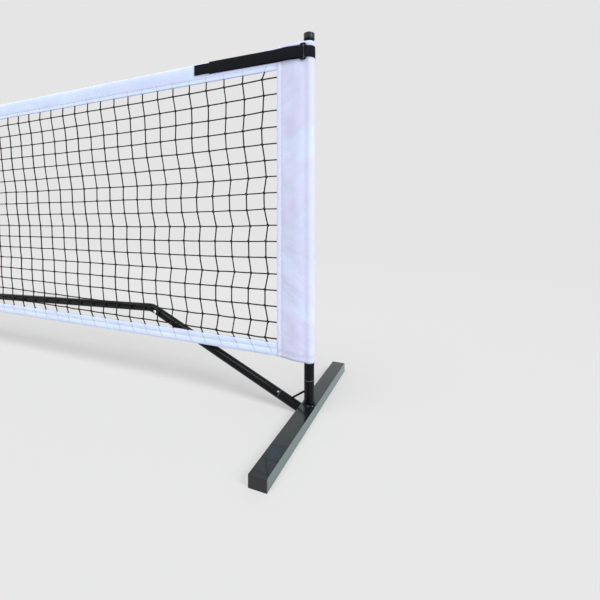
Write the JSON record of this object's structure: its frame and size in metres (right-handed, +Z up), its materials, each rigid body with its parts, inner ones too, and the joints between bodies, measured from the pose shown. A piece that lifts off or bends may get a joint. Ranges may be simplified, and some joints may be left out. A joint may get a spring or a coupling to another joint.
{
  "type": "portable pickleball net",
  "caption": "Take-apart portable court net: black steel tube frame on rectangular feet, black knotted mesh with white bound edges, and strapped end posts.",
  "frame": {"origin": "on the ground below the middle of the net", "axes": "+X along the net, +Y across the court, away from the side that the bottom buttons of the braces face, +Z up"},
  "size_m": [6.744, 0.526, 0.94],
  "materials": {
    "black_steel": "gloss black powder coat",
    "black_plastic": "satin moulded plastic",
    "bright_steel": "bright spring steel",
    "white_cloth": "coated polyester, woven",
    "black_cord": "knotted polyethylene twine",
    "black_webbing": "hook and loop strap"
  },
  "bodies": {
    "frame": {"foot_right": "black_steel", "foot_left": "black_steel", "foot_caps_right": "black_plastic", "foot_caps_left": "black_plastic", "upright_stub_right": "black_steel", "upright_stub_left": "black_steel", "inclined_stub_right": "black_steel", "inclined_stub_left": "black_steel", "stub_strut_right": "black_steel", "stub_strut_left": "black_steel", "brace_tube_right": "black_steel", "brace_tube_left": "black_steel", "outer_bar_right": "black_steel", "outer_bar_left": "black_steel", "middle_bar_right": "black_steel", "middle_bar_left": "black_steel", "inner_bar_right": "black_steel", "inner_bar_left": "black_steel", "snap_springs_right": "bright_steel", "snap_springs_left": "bright_steel", "centre_foot": "black_steel", "centre_foot_caps": "black_plastic", "centre_stub": "black_steel", "bar_sockets": "black_steel", "net_mesh": "black_cord", "top_tape": "white_cloth", "bottom_tape": "white_cloth", "top_tape_cord": "black_cord", "bottom_tape_cord": "black_cord", "side_panel_right": "white_cloth", "side_panel_left": "white_cloth", "strap_base_right": "black_webbing", "strap_base_left": "black_webbing", "strap_loop_right": "black_webbing", "strap_loop_left": "black_webbing", "strap_ring_right": "black_plastic", "strap_ring_left": "black_plastic", "centre_strap": "black_webbing"},
    "stub_button_right": {"stub_button_right": "bright_steel"},
    "elbow_button_right": {"elbow_button_right": "bright_steel"},
    "outer_splice_button_right": {"outer_splice_button_right": "bright_steel"},
    "inner_splice_button_right": {"inner_splice_button_right": "bright_steel"},
    "socket_button_right": {"socket_button_right": "bright_steel"},
    "post_right": {"post_right": "black_steel", "post_cap_right": "black_plastic"},
    "strap_tail_right": {"strap_tail_right": "black_webbing"},
    "stub_button_left": {"stub_button_left": "bright_steel"},
    "elbow_button_left": {"elbow_button_left": "bright_steel"},
    "outer_splice_button_left": {"outer_splice_button_left": "bright_steel"},
    "inner_splice_button_left": {"inner_splice_button_left": "bright_steel"},
    "socket_button_left": {"socket_button_left": "bright_steel"},
    "post_left": {"post_left": "black_steel", "post_cap_left": "black_plastic"},
    "strap_tail_left": {"strap_tail_left": "black_webbing"},
    "centre_post": {"centre_post": "black_steel", "centre_post_cap": "black_plastic"},
    "centre_strap_tail": {"centre_strap_tail": "black_webbing"}
  },
  "joints": [
    {"name": "stub_button_push_right", "type": "slide", "parent": "frame", "child": "stub_button_right", "axis": [-0.2767, 0.7071, -0.6507], "range_m": [0, 0.0035], "stiffness_N_per_m": 700, "springref_m": -0.002},
    {"name": "elbow_button_push_right", "type": "slide", "parent": "frame", "child": "elbow_button_right", "axis": [0, 1, 0], "range_m": [0, 0.0035], "stiffness_N_per_m": 700, "springref_m": -0.002},
    {"name": "outer_splice_button_push_right", "type": "slide", "parent": "frame", "child": "outer_splice_button_right", "axis": [0, -1, 0], "range_m": [0, 0.0035], "stiffness_N_per_m": 700, "springref_m": -0.002},
    {"name": "inner_splice_button_push_right", "type": "slide", "parent": "frame", "child": "inner_splice_button_right", "axis": [0, -1, 0], "range_m": [0, 0.0035], "stiffness_N_per_m": 700, "springref_m": -0.002},
    {"name": "socket_button_push_right", "type": "slide", "parent": "frame", "child": "socket_button_right", "axis": [0, -1, 0], "range_m": [0, 0.0035], "stiffness_N_per_m": 700, "springref_m": -0.002},
    {"name": "post_lift_right", "type": "slide", "parent": "frame", "child": "post_right", "axis": [0, 0, 1], "range_m": [0, 0.05]},
    {"name": "strap_peel_right", "type": "hinge", "parent": "frame", "child": "strap_tail_right", "pos_m": [3.3398, -0.0195, 0.888], "axis": [0, 0, 1], "range_deg": [0, 120]},
    {"name": "stub_button_push_left", "type": "slide", "parent": "frame", "child": "stub_button_left", "axis": [0.2767, 0.7071, -0.6507], "range_m": [0, 0.0035], "stiffness_N_per_m": 700, "springref_m": -0.002},
    {"name": "elbow_button_push_left", "type": "slide", "parent": "frame", "child": "elbow_button_left", "axis": [0, 1, 0], "range_m": [0, 0.0035], "stiffness_N_per_m": 700, "springref_m": -0.002},
    {"name": "outer_splice_button_push_left", "type": "slide", "parent": "frame", "child": "outer_splice_button_left", "axis": [0, -1, 0], "range_m": [0, 0.0035], "stiffness_N_per_m": 700, "springref_m": -0.002},
    {"name": "inner_splice_button_push_left", "type": "slide", "parent": "frame", "child": "inner_splice_button_left", "axis": [0, -1, 0], "range_m": [0, 0.0035], "stiffness_N_per_m": 700, "springref_m": -0.002},
    {"name": "socket_button_push_left", "type": "slide", "parent": "frame", "child": "socket_button_left", "axis": [0, -1, 0], "range_m": [0, 0.0035], "stiffness_N_per_m": 700, "springref_m": -0.002},
    {"name": "post_lift_left", "type": "slide", "parent": "frame", "child": "post_left", "axis": [0, 0, 1], "range_m": [0, 0.05]},
    {"name": "strap_peel_left", "type": "hinge", "parent": "frame", "child": "strap_tail_left", "pos_m": [-3.3398, -0.0195, 0.888], "axis": [0, 0, -1], "range_deg": [0, 120]},
    {"name": "centre_post_lift", "type": "slide", "parent": "frame", "child": "centre_post", "axis": [0, 0, 1], "range_m": [0, 0.05]},
    {"name": "centre_strap_peel", "type": "hinge", "parent": "frame", "child": "centre_strap_tail", "pos_m": [0.0152, -0.0109, 0.837], "axis": [0, 0, 1], "range_deg": [0, 85]}
  ]
}
